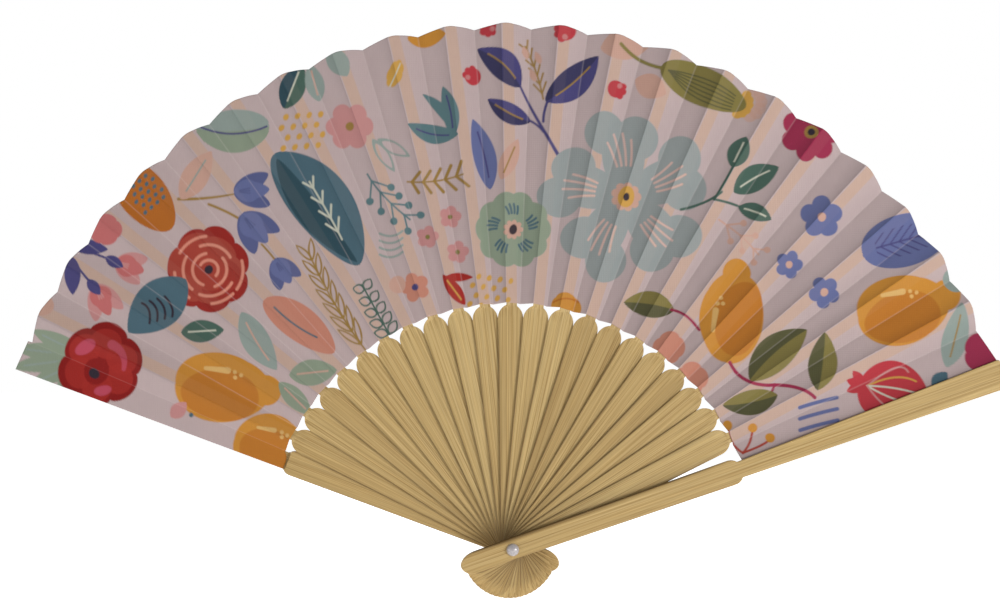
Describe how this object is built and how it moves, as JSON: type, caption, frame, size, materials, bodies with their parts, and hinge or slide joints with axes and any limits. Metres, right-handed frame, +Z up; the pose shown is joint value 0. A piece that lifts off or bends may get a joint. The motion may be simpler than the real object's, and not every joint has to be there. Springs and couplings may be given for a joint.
{
  "type": "hand fan",
  "caption": "Folding hand fan: bamboo sticks between two guards turn on one rivet and spread a pleated printed fabric leaf.",
  "frame": {"origin": "on the rivet's axis, in the middle stick's plane", "axes": "+Z up along the middle stick of the open fan, +X to the right seen from the front, front of the leaf faces -Y"},
  "size_m": [0.3951, 0.0292, 0.2292],
  "materials": {
    "bamboo_stick": "sanded bare bamboo with fine lengthwise grain",
    "bamboo_guard": "sanded bare bamboo with fine lengthwise grain",
    "leaf_fabric": "thin woven cloth, dusty pink, printed with flowers",
    "rivet": "glossy pearl white"
  },
  "bodies": {
    "arm_00": {"front_guard": "bamboo_guard", "leaf_panel_00": "leaf_fabric"},
    "arm_01": {"stick_01": "bamboo_stick", "leaf_pleat_01": "leaf_fabric"},
    "arm_02": {"stick_02": "bamboo_stick", "leaf_pleat_02": "leaf_fabric"},
    "arm_03": {"stick_03": "bamboo_stick", "leaf_pleat_03": "leaf_fabric"},
    "arm_04": {"stick_04": "bamboo_stick", "leaf_pleat_04": "leaf_fabric"},
    "arm_05": {"stick_05": "bamboo_stick", "leaf_pleat_05": "leaf_fabric"},
    "arm_06": {"stick_06": "bamboo_stick", "leaf_pleat_06": "leaf_fabric"},
    "arm_07": {"stick_07": "bamboo_stick", "leaf_pleat_07": "leaf_fabric"},
    "arm_08": {"stick_08": "bamboo_stick", "leaf_pleat_08": "leaf_fabric"},
    "arm_09": {"stick_09": "bamboo_stick", "leaf_pleat_09": "leaf_fabric"},
    "arm_10": {"stick_10": "bamboo_stick", "leaf_pleat_10": "leaf_fabric"},
    "arm_11": {"stick_11": "bamboo_stick", "leaf_pleat_11": "leaf_fabric", "rivet_pin": "rivet", "rivet_cap": "rivet"},
    "arm_12": {"stick_12": "bamboo_stick", "leaf_pleat_12": "leaf_fabric"},
    "arm_13": {"stick_13": "bamboo_stick", "leaf_pleat_13": "leaf_fabric"},
    "arm_14": {"stick_14": "bamboo_stick", "leaf_pleat_14": "leaf_fabric"},
    "arm_15": {"stick_15": "bamboo_stick", "leaf_pleat_15": "leaf_fabric"},
    "arm_16": {"stick_16": "bamboo_stick", "leaf_pleat_16": "leaf_fabric"},
    "arm_17": {"stick_17": "bamboo_stick", "leaf_pleat_17": "leaf_fabric"},
    "arm_18": {"stick_18": "bamboo_stick", "leaf_pleat_18": "leaf_fabric"},
    "arm_19": {"stick_19": "bamboo_stick", "leaf_pleat_19": "leaf_fabric"},
    "arm_20": {"stick_20": "bamboo_stick", "leaf_pleat_20": "leaf_fabric"},
    "arm_21": {"stick_21": "bamboo_stick", "leaf_pleat_21": "leaf_fabric"},
    "arm_22": {"back_guard": "bamboo_guard", "leaf_pleat_22": "leaf_fabric"}
  },
  "joints": [
    {"name": "stick_10_pivot", "type": "hinge", "parent": "arm_11", "child": "arm_10", "pos_m": [0, 0, 0], "axis": [0, -1, 0], "range_deg": [0, 6.28], "deforming": ["leaf_pleat_11"]},
    {"name": "stick_09_pivot", "type": "hinge", "parent": "arm_10", "child": "arm_09", "pos_m": [0, 0, 0], "axis": [0, -1, 0], "range_deg": [0, 6.28], "deforming": ["leaf_pleat_10"]},
    {"name": "stick_08_pivot", "type": "hinge", "parent": "arm_09", "child": "arm_08", "pos_m": [0, 0, 0], "axis": [0, -1, 0], "range_deg": [0, 6.28], "deforming": ["leaf_pleat_09"]},
    {"name": "stick_07_pivot", "type": "hinge", "parent": "arm_08", "child": "arm_07", "pos_m": [0, 0, 0], "axis": [0, -1, 0], "range_deg": [0, 6.28], "deforming": ["leaf_pleat_08"]},
    {"name": "stick_06_pivot", "type": "hinge", "parent": "arm_07", "child": "arm_06", "pos_m": [0, 0, 0], "axis": [0, -1, 0], "range_deg": [0, 6.28], "deforming": ["leaf_pleat_07"]},
    {"name": "stick_05_pivot", "type": "hinge", "parent": "arm_06", "child": "arm_05", "pos_m": [0, 0, 0], "axis": [0, -1, 0], "range_deg": [0, 6.28], "deforming": ["leaf_pleat_06"]},
    {"name": "stick_04_pivot", "type": "hinge", "parent": "arm_05", "child": "arm_04", "pos_m": [0, 0, 0], "axis": [0, -1, 0], "range_deg": [0, 6.28], "deforming": ["leaf_pleat_05"]},
    {"name": "stick_03_pivot", "type": "hinge", "parent": "arm_04", "child": "arm_03", "pos_m": [0, 0, 0], "axis": [0, -1, 0], "range_deg": [0, 6.28], "deforming": ["leaf_pleat_04"]},
    {"name": "stick_02_pivot", "type": "hinge", "parent": "arm_03", "child": "arm_02", "pos_m": [0, 0, 0], "axis": [0, -1, 0], "range_deg": [0, 6.28], "deforming": ["leaf_pleat_03"]},
    {"name": "stick_01_pivot", "type": "hinge", "parent": "arm_02", "child": "arm_01", "pos_m": [0, 0, 0], "axis": [0, -1, 0], "range_deg": [0, 6.28], "deforming": ["leaf_pleat_02"]},
    {"name": "front_guard_pivot", "type": "hinge", "parent": "arm_01", "child": "arm_00", "pos_m": [0, 0, 0], "axis": [0, -1, 0], "range_deg": [0, 7.1], "deforming": ["leaf_pleat_01"]},
    {"name": "stick_12_pivot", "type": "hinge", "parent": "arm_11", "child": "arm_12", "pos_m": [0, 0, 0], "axis": [0, 1, 0], "range_deg": [0, 6.28], "deforming": ["leaf_pleat_12"]},
    {"name": "stick_13_pivot", "type": "hinge", "parent": "arm_12", "child": "arm_13", "pos_m": [0, 0, 0], "axis": [0, 1, 0], "range_deg": [0, 6.28], "deforming": ["leaf_pleat_13"]},
    {"name": "stick_14_pivot", "type": "hinge", "parent": "arm_13", "child": "arm_14", "pos_m": [0, 0, 0], "axis": [0, 1, 0], "range_deg": [0, 6.28], "deforming": ["leaf_pleat_14"]},
    {"name": "stick_15_pivot", "type": "hinge", "parent": "arm_14", "child": "arm_15", "pos_m": [0, 0, 0], "axis": [0, 1, 0], "range_deg": [0, 6.28], "deforming": ["leaf_pleat_15"]},
    {"name": "stick_16_pivot", "type": "hinge", "parent": "arm_15", "child": "arm_16", "pos_m": [0, 0, 0], "axis": [0, 1, 0], "range_deg": [0, 6.28], "deforming": ["leaf_pleat_16"]},
    {"name": "stick_17_pivot", "type": "hinge", "parent": "arm_16", "child": "arm_17", "pos_m": [0, 0, 0], "axis": [0, 1, 0], "range_deg": [0, 6.28], "deforming": ["leaf_pleat_17"]},
    {"name": "stick_18_pivot", "type": "hinge", "parent": "arm_17", "child": "arm_18", "pos_m": [0, 0, 0], "axis": [0, 1, 0], "range_deg": [0, 6.28], "deforming": ["leaf_pleat_18"]},
    {"name": "stick_19_pivot", "type": "hinge", "parent": "arm_18", "child": "arm_19", "pos_m": [0, 0, 0], "axis": [0, 1, 0], "range_deg": [0, 6.28], "deforming": ["leaf_pleat_19"]},
    {"name": "stick_20_pivot", "type": "hinge", "parent": "arm_19", "child": "arm_20", "pos_m": [0, 0, 0], "axis": [0, 1, 0], "range_deg": [0, 6.28], "deforming": ["leaf_pleat_20"]},
    {"name": "stick_21_pivot", "type": "hinge", "parent": "arm_20", "child": "arm_21", "pos_m": [0, 0, 0], "axis": [0, 1, 0], "range_deg": [0, 6.28], "deforming": ["leaf_pleat_21"]},
    {"name": "back_guard_pivot", "type": "hinge", "parent": "arm_21", "child": "arm_22", "pos_m": [0, 0, 0], "axis": [0, 1, 0], "range_deg": [0, 6.45], "deforming": ["leaf_pleat_22"]}
  ],
  "couplings": [
    {"joint": "stick_09_pivot", "follows": "stick_10_pivot", "ratio": 1},
    {"joint": "stick_08_pivot", "follows": "stick_10_pivot", "ratio": 1},
    {"joint": "stick_07_pivot", "follows": "stick_10_pivot", "ratio": 1},
    {"joint": "stick_06_pivot", "follows": "stick_10_pivot", "ratio": 1},
    {"joint": "stick_05_pivot", "follows": "stick_10_pivot", "ratio": 1},
    {"joint": "stick_04_pivot", "follows": "stick_10_pivot", "ratio": 1},
    {"joint": "stick_03_pivot", "follows": "stick_10_pivot", "ratio": 1},
    {"joint": "stick_02_pivot", "follows": "stick_10_pivot", "ratio": 1},
    {"joint": "stick_01_pivot", "follows": "stick_10_pivot", "ratio": 1},
    {"joint": "front_guard_pivot", "follows": "stick_10_pivot", "ratio": 1.1315},
    {"joint": "stick_12_pivot", "follows": "stick_10_pivot", "ratio": 1},
    {"joint": "stick_13_pivot", "follows": "stick_10_pivot", "ratio": 1},
    {"joint": "stick_14_pivot", "follows": "stick_10_pivot", "ratio": 1},
    {"joint": "stick_15_pivot", "follows": "stick_10_pivot", "ratio": 1},
    {"joint": "stick_16_pivot", "follows": "stick_10_pivot", "ratio": 1},
    {"joint": "stick_17_pivot", "follows": "stick_10_pivot", "ratio": 1},
    {"joint": "stick_18_pivot", "follows": "stick_10_pivot", "ratio": 1},
    {"joint": "stick_19_pivot", "follows": "stick_10_pivot", "ratio": 1},
    {"joint": "stick_20_pivot", "follows": "stick_10_pivot", "ratio": 1},
    {"joint": "stick_21_pivot", "follows": "stick_10_pivot", "ratio": 1},
    {"joint": "back_guard_pivot", "follows": "stick_10_pivot", "ratio": 1.0279}
  ]
}
